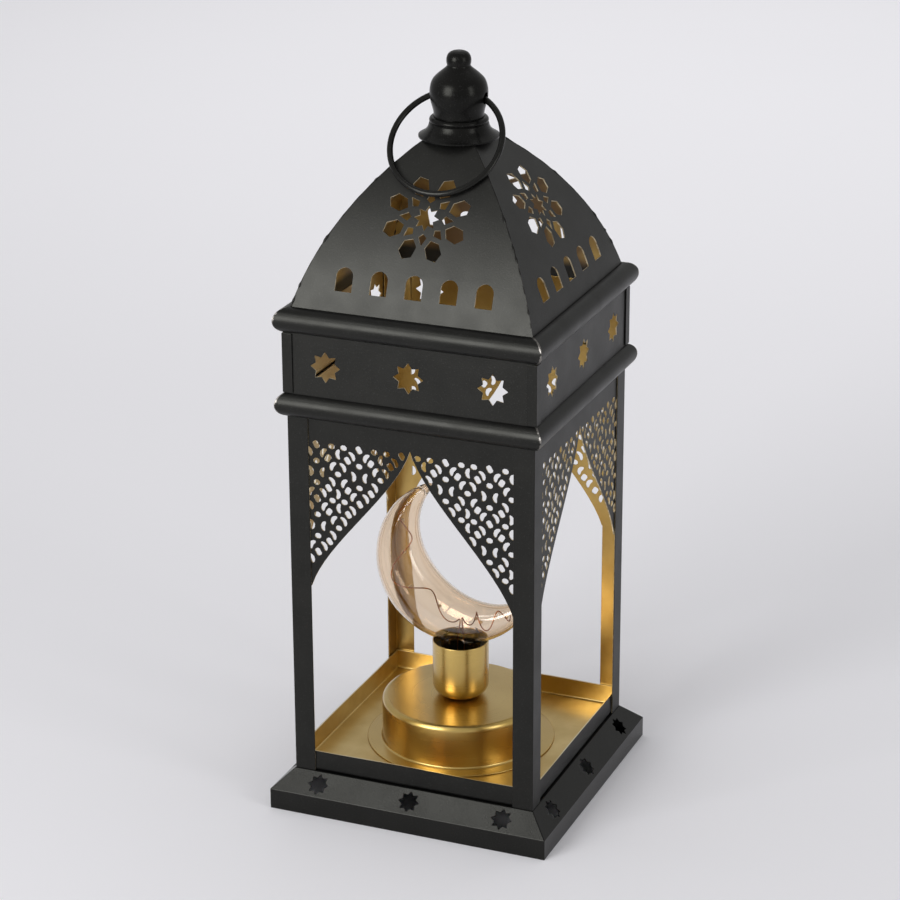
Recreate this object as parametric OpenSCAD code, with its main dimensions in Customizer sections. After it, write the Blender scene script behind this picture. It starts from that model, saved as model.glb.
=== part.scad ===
// Square sheet-metal lantern with pierced arches, a four-sided dome, a ring handle
// and a battery-lit crescent lamp. Millimetres, +Z up, front face towards -Y,
// origin on the floor under the middle of the plinth.

/* [Sheet and fits] */

// thickness of the sheet metal
sheet = 0.6; // [0.5:0.05:0.8]
// clearance between pieces that are joined
fit = 0.05; // [0.03:0.01:0.08]
// clearance around pieces that slide
slide_fit = 0.3; // [0.25:0.05:0.4]

/* [Plinth and tray] */

// outer width of the plinth
plinth_w = 140; // [136:1:170]
// height of the upright rim
rim_h = 10; // [7:0.5:13]
// height of the whole plinth
plinth_h = 19; // [17:0.5:24]
// width of the turned-in hem at the floor
hem = 4; // [3:0.5:7]
// width of the flange that carries the body
plinth_flange = 5; // [4:0.5:8]
// width of the eight-pointed stars in the slope
plinth_star_d = 10.2; // [6:0.1:10.8]
// distance between these stars
plinth_star_pitch = 46.8; // [30:0.2:50]
// height of the tray's turned-up sides
tray_side = 10.5; // [7:0.5:15]

/* [Body] */

// width over the corner posts
body_w = 121; // [116:1:126]
// leg of the corner posts
post_leg = 10.2; // [8:0.2:13]
// height of the lower bead's middle
lower_bead_z = 204; // [194:1:220]
// distance from the lower bead to the upper one
frieze_h = 40.3; // [34:0.5:50]
// radius of the beads
bead_r = 6; // [5:0.25:7]
// how far the beads stand out from the posts
bead_out = 4.5; // [3.5:0.25:5.5]
// leg of the angle strips on the frieze corners
angle_leg = 5; // [3.5:0.5:8]
// width of the eight-pointed stars in the frieze
frieze_star_d = 14.8; // [8:0.2:18]
// distance between these stars
frieze_star_pitch = 40.6; // [28:0.2:42]

/* [Arch screens] */

// how far the arch's point lies below the lower bead
arch_gap = 15; // [13:1:34]
// height of the arch's head, from its point down to the spandrel tips
arch_h = 74; // [59:1:94]
// width of one repeat of the piercing
repeat_w = 21.3; // [20.5:0.1:26]
// height of one repeat of the piercing
repeat_h = 26.6; // [26:0.1:32]
// length of a bean-shaped hole
bean_len = 5.1; // [3:0.1:5.3]
// width of a bean-shaped hole
bean_w = 2.5; // [1.4:0.1:2.6]
// length of a block-shaped hole
block_len = 3.7; // [2.4:0.1:3.9]
// width of a block-shaped hole
block_w = 2.7; // [1.6:0.1:2.8]
// width of an oval hole
oval_len = 3.2; // [2:0.1:3.4]
// height of an oval hole
oval_w = 2.7; // [1.8:0.1:2.9]
// plain rim along the arch edge, measured level
arch_rim = 1.3; // [1:0.1:3]

/* [Dome] */

// bending radius of the dome sheets
dome_r = 141.2; // [130:0.2:160]
// how far the bending centre lies below the dome's foot
dome_drop = 27.4; // [20:0.2:35]
// half width of the opening at the crown
crown_half = 8; // [6.5:0.25:8.5]
// width of the round-headed windows
window_w = 8.2; // [5:0.1:11]
// height of these windows
window_h = 11; // [8:0.5:14]
// distance between these windows
window_pitch = 16.9; // [14:0.1:19]
// how far up the sheet the windows lie
window_up = 26.4; // [22:0.2:30]
// how far up the sheet the rosette lies
rosette_up = 58.3; // [56:0.2:62]
// width of the rosette
rosette_d = 42; // [30:1:44]

/* [Finial and ring] */

// radius of the finial's flared foot
flare_r = 18.5; // [16.8:0.1:19]
// largest radius of the finial's ball
ball_r = 13.3; // [12.4:0.1:13.9]
// radius of the knob on top
knob_r = 5.65; // [4.5:0.05:6.5]
// height of the finial
finial_h = 39.3; // [37:0.1:41]
// wall of the spun finial
finial_wall = 0.9; // [0.7:0.1:1.1]
// radius of the ring handle to the middle of its wire
ring_r = 26.3; // [24:0.1:29]
// wire of the ring handle
ring_wire = 2.8; // [2:0.1:3]
// cross holes that the ring hangs in
ring_hole_d = 5.6; // [5.5:0.1:6.4]
// radius of the finial screw
screw_r = 1.95; // [1.4:0.05:2.4]

/* [Lamp] */

// width of the drum's brim
brim_w = 7.4; // [4:0.2:12]
// room between the drum and the battery case in it
drum_room = 1.1; // [0.6:0.1:2]
// height of the drum
drum_h = 22.3; // [21:0.1:28]
// radius of the cup
cup_r = 13.6; // [12.6:0.1:16]
// height of the cup
cup_h = 28.8; // [26:0.2:36]
// outer radius of the crescent's neck
neck_r = 9.5; // [8.5:0.1:10.5]
// wall of the crescent's glass
glass_wall = 0.9; // [0.7:0.1:1.2]
// outer radius of the crescent
moon_out_r = 41.2; // [38:0.2:46]
// radius of the crescent's hollow side
moon_in_r = 34.6; // [32:0.2:36]
// distance between the centres of these two radii
moon_offset = 20.9; // [19:0.1:23]
// angle at which the crescent opens
moon_turn = 45.6; // [30:0.2:60]
// how far the crescent's belly sits below the cup's rim
moon_sink = 1.2; // [0.4:0.1:1.6]
// how far the crescent's middle lies beside the axis
moon_shift = -1.6; // [-3:0.1:0]
// wire of the light string
light_wire_d = 0.6; // [0.4:0.05:0.8]
// radius of a light drop
drop_r = 0.95; // [0.7:0.05:1.2]
// radius of a lead
lead_r = 0.6; // [0.4:0.05:0.8]

/* [Battery unit] */

// radius of the battery case
case_r = 36.5; // [35.5:0.1:38.5]
// how far the case stands below the tray
case_drop = 3; // [2.6:0.1:4]
// diameter of a cell
cell_d = 10.5; // [10.2:0.05:10.6]
// length of a cell without its button
cell_len = 43.5; // [43:0.1:43.8]
// thickness of the lid
lid_t = 1.4; // [1.2:0.1:1.6]
// travel of the switch
switch_travel = 4.4; // [3:0.1:5]
// wire of the cell springs
spring_wire = 0.7; // [0.5:0.05:0.8]
// turns of a cell spring
spring_turns = 4; // [3:1:4]

/* [Hidden] */

half = body_w / 2;
post_in = half - sheet;
tray_out = post_in - fit;
tray_z = plinth_h + fit;
tray_top = tray_z + sheet;
screen_out = post_in - fit;
frieze_in = half + fit;
frieze_out = frieze_in + sheet;
upper_bead_z = lower_bead_z + frieze_h;
arch_apex_z = lower_bead_z - arch_gap;
arch_tip_z = arch_apex_z - arch_h;
bead_c = half + bead_out - bead_r;
dome_z0 = upper_bead_z - 5.2;
post_top = dome_z0 - 1;
dome_hc = frieze_out - sqrt(dome_r * dome_r - dome_drop * dome_drop);
dome_zc = dome_z0 - dome_drop;
dome_a0 = asin(dome_drop / dome_r);
crown_z = dome_z(crown_half);
plate_t = 0.8;
plate_r = crown_half + 1.5;
finial_z = dome_z((flare_r - finial_wall) / sqrt(2)) + fit;
finial_k = finial_h / 39.3;
finial_neck = ball_r - 1.8 * finial_k;
pivot_z = finial_z + 18 * finial_k;
pivot_wall = ball_r - 0.15 * finial_k - finial_wall / 2;
ring_d = sqrt(ring_r * ring_r - pivot_wall * pivot_wall);
drum_r = case_r + drum_room + sheet;
brim_r = drum_r + brim_w;
drum_z = tray_top + fit;
drum_top = drum_z + drum_h;
drum_under = drum_top - sheet - fit;
shoulder = 2.6;
root = 1.2;
cup_z = drum_top + fit;
cup_top = cup_z + cup_h;
cup_round = 7;
eyelet_r = 4.1;
eyelet_flange = 6;
plug_z = cup_z + cup_round + 0.6;
plug_top = cup_top - 4.5;
plug_floor = 3.3;
lead_hole = 3.3;
glass_foot = plug_z + plug_floor + fit;
moon_x = moon_shift;
moon_z = cup_top - moon_sink + moon_out_r;
moon_qx = moon_x + cos(moon_turn) * moon_offset / 2;
moon_qz = moon_z + sin(moon_turn) * moon_offset / 2;
case_z = tray_z - case_drop;
lip = 0.7;
slot_top = case_z + lip + lid_t + 2 * slide_fit;
floor_top = slot_top + 1.5;
cell_gap = 0.5;
cell_pitch = cell_d + cell_gap;
cell_z = slot_top + cell_d / 2;
bay_w = 3 * cell_pitch + 0.6;
bay_l = cell_len + 8.6;
bay_top = cell_z + cell_d / 2 + 0.4;
bay_wall = 1.5;
case_top = drum_top - shoulder - 0.3;
contact_t = 0.4;
contact_w = cell_d - 2.5;
contact_x = bay_l / 2 - fit - contact_t;
button = 0.8;
cell_x1 = contact_x - fit - button;
cell_x0 = cell_x1 - cell_len;
spring_r = 3;
stud_r = 1.45;
stud_spots = concat([for (a = [231.6, 308.4]) (case_r - 7.5) * [cos(a), sin(a)]], [[0, case_r - 10.5]]);
nut_h = 2.4;
nut_top = floor_top + 4.4;
slot_half = bay_l / 2 + 2.95;
lid_y0 = -bay_w / 2 - 2.2;
lid_y1 = case_r - 15.5;
switch_y = 9.5 - case_r;
switch_l = 12;
switch_w = 6.2;
switch_z = case_z + slide_fit;
switch_h = 5.5;
stem_l = 3.4;
stem_w = 2.2;
stem_z = switch_z - 1.9;
stem_h = 4.6;
black = [0.14, 0.14, 0.14];
gold = [0.78, 0.58, 0.22];
steel = [0.72, 0.72, 0.74];
amber = [0.9, 0.74, 0.5];
plastic = [0.08, 0.08, 0.09];
copper = [0.72, 0.4, 0.22];

// height of the dome's outer face at a distance from the axis
function dome_z(h) = dome_zc + sqrt(dome_r * dome_r - (h - dome_hc) * (h - dome_hc));
// distance of the dome's outer face from the axis at a height
function dome_h(z) = dome_hc + sqrt(dome_r * dome_r - (z - dome_zc) * (z - dome_zc));
// a sheet's inner corner between two outward normals
function inset(p, n, m, t) = p - t * (n + m) / (1 + n * m);
// an arc of points
function arc(cx, cy, r, a, b, n) = [
    for (i = [0:n]) let (q = a + (b - a) * i / n) [cx + r * cos(q), cy + r * sin(q)]
];
// a star with eight points
function star(r, k) = [
    for (i = [0:15]) let (q = i % 2 == 0 ? r : r * k) [q * cos(22.5 * i), q * sin(22.5 * i)]
];

// turns a piece made for the front to side 0 front, 1 right, 2 back or 3 left
module side(i) {
    rotate([0, 0, 90 * i])
        children();
}

// a sheet profile drawn as distance and height, run along the front and mitred
module front_strip(w) {
    intersection() {
        rotate([90, 0, -90])
            linear_extrude(2 * w + 20, center = true)
                children();
        translate([0, 0, -10])
            linear_extrude(500)
                polygon([[0, -fit], [-w - 20, -w - 20 - fit], [w + 20, -w - 20 - fit]]);
    }
}

// plinth side: hem, rim, slope and flange bent from one sheet
module plinth_side() {
    p = plinth_w / 2;
    q = half + 0.2;
    run = p - q;
    rise = plinth_h - rim_h;
    n = [rise, run] / norm([rise, run]);
    mid = [(p + q) / 2, (rim_h + plinth_h) / 2];
    b = [p, rim_h];
    c = [q, plinth_h];
    d = q - plinth_flange;
    difference() {
        front_strip(p)
            polygon([
                [p - hem, 0], [p, 0], b, c, [d, plinth_h], [d, plinth_h - sheet],
                inset(c, n, [0, 1], sheet), inset(b, [1, 0], n, sheet), [p - sheet, sheet], [p - hem, sheet]
            ]);
        for (i = [-1:1])
            translate([i * plinth_star_pitch, -mid[0], mid[1]])
                rotate([atan2(n[0], n[1]), 0, 0])
                    linear_extrude(4, center = true)
                        polygon(star(plinth_star_d / 2, 0.68));
    }
}

module plinth_front() { color(black) side(0) plinth_side(); }
module plinth_right() { color(black) side(1) plinth_side(); }
module plinth_back() { color(black) side(2) plinth_side(); }
module plinth_left() { color(black) side(3) plinth_side(); }

// tray: a shallow pan between the posts, open in the middle for the battery case
module tray() {
    color(gold)
        difference() {
            translate([-tray_out, -tray_out, tray_z])
                cube([2 * tray_out, 2 * tray_out, tray_side]);
            translate([-tray_out + sheet, -tray_out + sheet, tray_top])
                cube([2 * (tray_out - sheet), 2 * (tray_out - sheet), tray_side]);
            translate([0, 0, tray_z - 1])
                cylinder(r = case_r + slide_fit, h = 4, $fn = 96);
        }
}

// corner post: an angle that runs from the plinth to the dome's foot
module post() {
    translate([0, 0, tray_z])
        linear_extrude(post_top - tray_z)
            polygon([
                [-half, -half], [-half + post_leg, -half], [-half + post_leg, -post_in],
                [-post_in, -post_in], [-post_in, -half + post_leg], [-half, -half + post_leg]
            ]);
}

module post_fl() { color(black) side(0) post(); }
module post_fr() { color(black) side(1) post(); }
module post_br() { color(black) side(2) post(); }
module post_bl() { color(black) side(3) post(); }

arch_half = half - post_leg;
// the arch edge from its tip up to its point, as [height, distance from the middle]
function edge_at(t) = [
    arch_apex_z - arch_h * (3 * 0.31 * t * (1 - t) * (1 - t) + 3 * 0.69 * t * t * (1 - t) + t * t * t),
    arch_half * (3 * 0.14 * t * (1 - t) * (1 - t) + 3 * 0.85 * t * t * (1 - t) + t * t * t)
];
edge = [for (i = [16:-1:0]) edge_at(i / 16)];
// one quarter of a repeat of the piercing, which is mirrored up and sideways:
// [share of its width, share of its height, 0 oval 1 bean 2 block, turn]
quarter = [
    [0, 0, 0, 0], [0.13, 0.145, 1, -60], [0.228, 0.277, 2, -58], [0, 0.37, 1, 90], [0.345, 0.372, 1, -60],
    [0.142, 0.5, 0, 0], [0.5, 0.2, 0, 0], [0.5, 0.5, 2, 60], [0.372, 0, 1, 82]
];
function on_line(share) = share == 0 || share == 0.5;
// outline of a pierced hole
function hole(kind) =
    kind == 1 ? [
        for (p = [
            [0.5, -0.3], [0.44, 0.05], [0.28, 0.36], [0, 0.52], [-0.28, 0.36], [-0.44, 0.05], [-0.5, -0.3],
            [-0.38, -0.48], [0, -0.34], [0.38, -0.48]
        ])
            [p[0] * bean_len, p[1] * bean_w]
    ] : kind == 2 ? [
        for (p = [
            [0.5, 0.28], [0.32, 0.5], [-0.32, 0.5], [-0.5, 0.28],
            [-0.5, -0.28], [-0.32, -0.5], [0.32, -0.5], [0.5, -0.28]
        ])
            [p[0] * block_len, p[1] * block_w]
    ] : [for (k = [0:7]) [0.53 * oval_len * cos(22.5 + 45 * k), 0.53 * oval_w * sin(22.5 + 45 * k)]];

// arch screen: a sheet behind the posts with a plain head and two pierced spandrels
module screen() {
    w = screen_out - sheet - fit;
    cols = ceil(arch_half / repeat_w) + 1;
    rows = ceil(arch_h / repeat_h);
    end = arch_half + 2.5;
    translate([0, -screen_out + sheet, 0])
        rotate([90, 0, 0])
            linear_extrude(sheet)
                difference() {
                    polygon(concat(
                        [[-w, arch_tip_z], [-w, lower_bead_z + 3], [w, lower_bead_z + 3], [w, arch_tip_z]],
                        [for (e = edge) [e[1], e[0]]],
                        [for (i = [15:-1:0]) [-edge[i][1], edge[i][0]]]
                    ));
                    intersection() {
                        for (i = [-cols:cols], j = [-1:rows], q = quarter, sx = [1, -1], sz = [1, -1]) {
                            x = 6.7 + (i + sx * q[0]) * repeat_w;
                            z = arch_apex_z - 16.4 - (j + sz * q[1]) * repeat_h;
                            copy = (sx < 0 && on_line(q[0])) || (sz < 0 && on_line(q[1]));
                            inside = abs(x) > lookup(z, edge) + arch_rim + 0.5 && abs(x) < end - 1;
                            if (!copy && inside && z > arch_tip_z + 4 && z < arch_apex_z - 0.6)
                                translate([x, z])
                                    rotate(-sx * sz * q[3])
                                        polygon(hole(q[2]));
                        }
                        for (k = [-1, 1])
                            polygon(concat(
                                [
                                    [k * end, arch_tip_z + 2], [k * end, arch_apex_z],
                                    [k * arch_rim, arch_apex_z]
                                ],
                                [for (i = [15:-1:0]) [k * (edge[i][1] + arch_rim), edge[i][0]]]
                            ));
                    }
                }
}

module screen_front() { color(black) side(0) screen(); }
module screen_right() { color(black) side(1) screen(); }
module screen_back() { color(black) side(2) screen(); }
module screen_left() { color(black) side(3) screen(); }

// bead: a rolled half-round strip, cut back where it lies on the pieces behind it
module bead(z, low, high) {
    front_strip(half + bead_out)
        translate([bead_c, z])
            difference() {
                circle(r = bead_r, $fn = 64);
                circle(r = bead_r - sheet, $fn = 64);
                polygon([
                    [-2 * bead_r, -2 * bead_r], [low - bead_c, -2 * bead_r], [low - bead_c, 0],
                    [high - bead_c, 0], [high - bead_c, 2 * bead_r], [-2 * bead_r, 2 * bead_r]
                ]);
            }
}
module lower_bead() { bead(lower_bead_z, half + fit, frieze_out + fit); }
module upper_bead() { bead(upper_bead_z, frieze_out + fit, dome_h(upper_bead_z + bead_r - 2 * sheet) + fit); }

module lower_bead_front() { color(black) side(0) lower_bead(); }
module lower_bead_right() { color(black) side(1) lower_bead(); }
module lower_bead_back() { color(black) side(2) lower_bead(); }
module lower_bead_left() { color(black) side(3) lower_bead(); }
module upper_bead_front() { color(black) side(0) upper_bead(); }
module upper_bead_right() { color(black) side(1) upper_bead(); }
module upper_bead_back() { color(black) side(2) upper_bead(); }
module upper_bead_left() { color(black) side(3) upper_bead(); }

// frieze: a flat sheet outside the posts with three stars
module frieze() {
    difference() {
        front_strip(frieze_out)
            polygon([
                [frieze_in, lower_bead_z - 1], [frieze_out, lower_bead_z - 1],
                [frieze_out, dome_z0 - fit], [frieze_in, dome_z0 - fit]
            ]);
        for (i = [-1:1])
            translate([i * frieze_star_pitch, -frieze_in, (lower_bead_z + upper_bead_z) / 2])
                rotate([90, 0, 0])
                    linear_extrude(4, center = true)
                        polygon(star(frieze_star_d / 2, 0.68));
    }
}

module frieze_front() { color(black) side(0) frieze(); }
module frieze_right() { color(black) side(1) frieze(); }
module frieze_back() { color(black) side(2) frieze(); }
module frieze_left() { color(black) side(3) frieze(); }

// angle strip over a corner of the frieze
module angle() {
    i = frieze_out + fit;
    o = i + sheet;
    translate([0, 0, lower_bead_z + bead_r])
        linear_extrude(frieze_h - 2 * bead_r)
            polygon([
                [-o, -o], [-o + angle_leg, -o], [-o + angle_leg, -i],
                [-i, -i], [-i, -o + angle_leg], [-o, -o + angle_leg]
            ]);
}

module angle_fl() { color(black) side(0) angle(); }
module angle_fr() { color(black) side(1) angle(); }
module angle_br() { color(black) side(2) angle(); }
module angle_bl() { color(black) side(3) angle(); }

// a place on the front dome sheet, s along the bend from its foot
module on_dome(s) {
    a = dome_a0 + s / dome_r * 180 / PI;
    translate([0, -dome_hc - dome_r * cos(a), dome_zc + dome_r * sin(a)])
        rotate([90 - a, 0, 0])
            linear_extrude(10, center = true)
                children();
}

// dome sheet: bent to a radius, mitred at the hips, pierced with windows and a rosette
module dome() {
    k = rosette_d / 42;
    difference() {
        front_strip(frieze_out)
            intersection() {
                translate([dome_hc, dome_zc])
                    difference() {
                        circle(r = dome_r, $fn = 360);
                        circle(r = dome_r - sheet, $fn = 360);
                    }
                polygon([[0, dome_z0], [2 * half, dome_z0], [2 * half, crown_z], [0, crown_z]]);
            }
        on_dome(window_up)
            for (i = [-2:2])
                translate([i * window_pitch, -window_h / 2]) {
                    translate([-window_w / 2, 0])
                        square([window_w, window_h - window_w / 2]);
                    translate([0, window_h - window_w / 2])
                        circle(d = window_w, $fn = 32);
                }
        on_dome(rosette_up)
            scale(k) {
                polygon(star(6, 0.6));
                for (i = [0:7])
                    rotate(45 * i)
                        polygon([[7.3, 0], [9, 2], [13, 0], [9, -2]]);
                for (i = [0:7])
                    rotate(22.5 + 45 * i)
                        polygon([[10.8, 0], [13.4, 3.4], [18.4, 3.6], [21, 0], [18.4, -3.6], [13.4, -3.4]]);
            }
    }
}

module dome_front() { color(black) side(0) dome(); }
module dome_right() { color(black) side(1) dome(); }
module dome_back() { color(black) side(2) dome(); }
module dome_left() { color(black) side(3) dome(); }

// crown plate: closes the dome and carries the finial screw
module crown_plate() {
    color(black)
        translate([0, 0, crown_z + fit])
            difference() {
                cylinder(r = plate_r, h = plate_t, $fn = 64);
                translate([0, 0, -1])
                    cylinder(r = screw_r + fit, h = 3, $fn = 32);
            }
}

// the bell's outline as [share of the flare, height]
bell = [
    [1, 0], [1, 0.7], [0.8, 1.5], [0.58, 2.6], [0.43, 3.8], [0.34, 5.2], [0.29, 6.4],
    [0.22, 6.9], [0.28, 7.4], [0.28, 8.2], [0.2, 9], [0.1, 9.3]
];
function bell_r(k) = finial_neck + k * (flare_r - finial_neck);
// finial bell: the flared foot that rests on the four hips
module finial_bell() {
    color(black)
        translate([0, 0, finial_z])
            rotate_extrude($fn = 96)
                polygon(concat(
                    [for (p = bell) [bell_r(p[0]), p[1] * finial_k]],
                    [
                        for (i = [len(bell) - 1:-1:0])
                            [max(bell_r(bell[i][0]) - finial_wall, finial_neck + fit), bell[i][1] * finial_k]
                    ]
                ));
}

// the ball's outline as [inset from the ball's radius, height]
ball = [
    [1.8, 4.6], [1.8, 10.9], [1.5, 12.5], [1, 14.3], [0.5, 16.2], [0.12, 18.4], [0, 20.7],
    [0.2, 22.6], [0.65, 24.5], [1.55, 26.4], [3.2, 28.2], [5.3, 30]
];
// the knob's outline as [distance from the knob's radius, height]
knob = [
    [1.1, 31], [0.1, 31.9], [-0.3, 32.7], [-0.1, 33.7], [0, 34.8], [-0.1, 36], [-0.6, 37.4], [-1.6, 38.5], [-3.4, 39.2]
];
// finial ball: a hollow ball with its knob, crossed by the two ring holes
module finial_ball() {
    color(black)
        translate([0, 0, finial_z])
            difference() {
                rotate_extrude($fn = 96)
                    polygon(concat(
                        [for (p = ball) [ball_r - p[0] * finial_k, p[1] * finial_k]],
                        [for (p = knob) [knob_r + p[0] * finial_k, p[1] * finial_k]],
                        [[0, finial_h], [0, 29.2 * finial_k]],
                        [
                            for (i = [len(ball) - 1:-1:0])
                                let (z = ball[i][1] - (i > 7 ? 0.7 : 0))
                                [ball_r - ball[i][0] * finial_k - finial_wall, z * finial_k]
                        ]
                    ));
                translate([0, 0, pivot_z - finial_z + 0.5])
                    rotate([0, 90, 0])
                        cylinder(d = ring_hole_d, h = 60, center = true, $fn = 32);
            }
}

// finial insert: the threaded plug in the ball's neck
module finial_insert() {
    color(steel)
        translate([0, 0, finial_z + 4.8 * finial_k])
            difference() {
                cylinder(r = finial_neck - finial_wall - fit, h = 4.6 * finial_k, $fn = 64);
                translate([0, 0, -1])
                    cylinder(r = screw_r + fit, h = 8, $fn = 32);
            }
}

// finial screw: clamps crown plate and finial from inside the dome
module finial_screw() {
    color(steel) {
        translate([0, 0, crown_z - 2.4])
            cylinder(r = screw_r + 1.7, h = 2.4, $fn = 48);
        translate([0, 0, crown_z - 1])
            cylinder(r = screw_r, h = finial_z + 9 * finial_k - crown_z + 1, $fn = 32);
    }
}

ring_lie = dome_r + ring_wire / 2 + 6 * fit;
ring_over = pivot_z - dome_zc;
// angle from straight down at which the ring's plane meets the front of the dome
ring_rest = asin(ring_lie / norm([dome_hc, ring_over])) - atan2(-dome_hc, ring_over);

// ring handle: hangs in the ball and lies on the dome
module ring_handle() {
    color(black)
        translate([0, 0, pivot_z])
            rotate([90 - ring_rest, 0, 0])
                translate([0, -ring_d, 0])
                    rotate_extrude($fn = 96)
                        translate([ring_r, 0])
                            circle(d = ring_wire, $fn = 24);
}

// lamp drum: a spun hat whose brim lies on the tray
module lamp_drum() {
    t = sheet;
    color(gold)
        rotate_extrude($fn = 128)
            polygon(concat(
                [[drum_r - t, drum_z], [brim_r, drum_z], [brim_r, drum_z + t]],
                arc(drum_r + root, drum_z + t + root, root, 270, 180, 4),
                arc(drum_r - shoulder, drum_top - shoulder, shoulder, 0, 90, 6),
                [[eyelet_r + fit, drum_top], [eyelet_r + fit, drum_top - t]],
                arc(drum_r - shoulder, drum_top - shoulder, shoulder - t, 90, 0, 6)
            ));
}

// lamp cup: holds the crescent's neck
module lamp_cup() {
    t = sheet;
    color(gold)
        rotate_extrude($fn = 96)
            polygon(concat(
                [[eyelet_r + fit, cup_z + t], [eyelet_r + fit, cup_z]],
                arc(cup_r - cup_round, cup_z + cup_round, cup_round, 270, 360, 8),
                [[cup_r, cup_top], [cup_r - t, cup_top]],
                arc(cup_r - cup_round, cup_z + cup_round, cup_round - t, 360, 270, 8)
            ));
}

// cup eyelet: a hollow rivet through the cup's floor and the drum's top
module cup_eyelet() {
    low = drum_under;
    high = cup_z + sheet + fit;
    color(steel)
        rotate_extrude($fn = 64)
            polygon([
                [lead_hole, low - 0.5], [eyelet_flange, low - 0.5], [eyelet_flange, low], [eyelet_r, low],
                [eyelet_r, high], [eyelet_flange, high], [eyelet_flange, high + 0.5], [lead_hole, high + 0.5]
            ]);
}

// moon plug: a black collar in the cup that grips the crescent's neck
module moon_plug() {
    color(plastic)
        translate([0, 0, plug_z])
            difference() {
                cylinder(r = cup_r - sheet - fit, h = plug_top - plug_z, $fn = 96);
                translate([0, 0, plug_floor])
                    cylinder(r = neck_r + fit, h = 40, $fn = 96);
                translate([0, 0, -1])
                    cylinder(r = lead_hole, h = 8, $fn = 48);
            }
}

// a closed skin over equal rings of points
module loft(rings) {
    n = len(rings[0]);
    m = len(rings);
    polyhedron(
        points = [for (r = rings) for (p = r) p],
        faces = concat(
            [[for (j = [0:n - 1]) j]],
            [for (i = [0:m - 2]) for (j = [0:n - 1]) [i * n + j, (i + 1) * n + j, i * n + (j + 1) % n]],
            [
                for (i = [0:m - 2]) for (j = [0:n - 1]) let (k = (j + 1) % n)
                    [i * n + k, (i + 1) * n + j, (i + 1) * n + k]
            ],
            [[for (j = [n - 1:-1:0]) (m - 1) * n + j]]
        )
    );
}

// direction of a ray from the crescent's middle, 0 at its thickest place
function moon_dir(b) = [cos(moon_turn + 180 + b), sin(moon_turn + 180 + b)];
function moon_far(b) = moon_offset / 2 * cos(b) + sqrt(pow(moon_out_r, 2) - pow(moon_offset / 2 * sin(b), 2));
function moon_near(b) = -moon_offset / 2 * cos(b) + sqrt(pow(moon_in_r, 2) - pow(moon_offset / 2 * sin(b), 2));
function moon_mid(b) = (moon_far(b) + moon_near(b)) / 2;
function moon_thick(b) = (moon_far(b) - moon_near(b)) / 2;
// the tip's rounding
function moon_cap(b, end) = abs(b) < end - 6 ? 1 : sqrt(max(0.004, 1 - pow((abs(b) - end + 6) / 6, 2)));
// a point in the crescent: angle, share across its plane, depth
function moon_point(b, u, v) = [
    moon_qx + (moon_mid(b) + u) * moon_dir(b)[0], v, moon_qz + (moon_mid(b) + u) * moon_dir(b)[1]
];
moon_k = (moon_out_r * moon_out_r - moon_in_r * moon_in_r) / (2 * moon_offset);
// the angle at which the two radii meet, less the rounded tip
moon_end = 174 - atan2(sqrt(pow(moon_out_r, 2) - pow(moon_offset / 2 + moon_k, 2)), moon_k);
module crescent(wall, end, n, sides) {
    loft([
        for (i = [0:n])
            let (b = -end * cos(180 * i / n), r = (moon_thick(b) - wall) * moon_cap(b, end))
            [for (j = [0:sides - 1]) moon_point(b, r * cos(360 * j / sides), r * sin(360 * j / sides))]
    ]);
}

// moon glass: a hollow crescent with an open neck below
module moon_glass() {
    color(amber)
        difference() {
            union() {
                crescent(0, moon_end, 30, 16);
                translate([0, 0, glass_foot])
                    cylinder(r = neck_r, h = cup_top + 8 - glass_foot, $fn = 48);
            }
            crescent(glass_wall, moon_end - 9, 30, 16);
            translate([0, 0, glass_foot - 1])
                cylinder(r = neck_r - glass_wall, h = cup_top + 9 - glass_foot, $fn = 48);
        }
}

// the angle at which the light string enters the crescent from its neck
light_b = atan2(cup_top + 9 - moon_qz, -moon_qx) + 180 - moon_turn;
// a point of the light string on its way through a horn, w from 0 at the neck to 1
function light_at(w, to, y) =
    let (b = light_b + (to - light_b) * w, r = moon_thick(b) - glass_wall - light_wire_d)
    moon_point(b, 0.5 * r * sin(900 * w), 0.5 * r * sin(620 * w) + y * (1 - w));
// the string's run: up the neck from a lead and then through a horn
function light_run(x, to) = concat(
    [
        [x, 0, glass_foot + 2], [x, 0, glass_foot + 6],
        [x * 0.9, x * 0.3, glass_foot + 12], [x * 0.6, x * 0.6, cup_top + 2]
    ],
    [for (i = [0:28]) light_at(i / 28, to, x * 0.7)]
);
// a six-sided tube along points that never run along ref
module tube(p, r, ref) {
    n = len(p) - 1;
    loft([
        for (i = [0:n])
            let (
                d = p[min(i + 1, n)] - p[max(i - 1, 0)],
                t = d / norm(d),
                a = cross(t, ref),
                u = a / norm(a),
                v = cross(t, u)
            )
            [for (j = [0:5]) p[i] + r * cos(60 * j) * u + r * sin(60 * j) * v]
    ]);
}

light_runs = [light_run(-1.6, -moon_end + 24), light_run(1.6, moon_end - 24)];
// light wire: the copper string in the crescent's two horns
module light_wire() {
    color(copper) {
        tube(light_runs[0], light_wire_d / 2, [0, 1, 0]);
        tube(light_runs[1], light_wire_d / 2, [0, 1, 0]);
    }
}

// light drops: small lamps beside the string
module light_drops() {
    color(amber)
        for (r = light_runs, i = [9, 15, 21, 27])
            translate(r[i] + [0, drop_r + light_wire_d / 2 + 2 * fit, 0])
                sphere(r = drop_r, $fn = 24);
}

// leads: two insulated wires from the case up to the light string
module leads() {
    color(plastic)
        for (x = [-1.6, 1.6])
            translate([x, 0, bay_top + bay_wall + fit])
                cylinder(r = lead_r, h = glass_foot + 2 - fit - bay_top - bay_wall - fit, $fn = 24);
}

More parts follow.
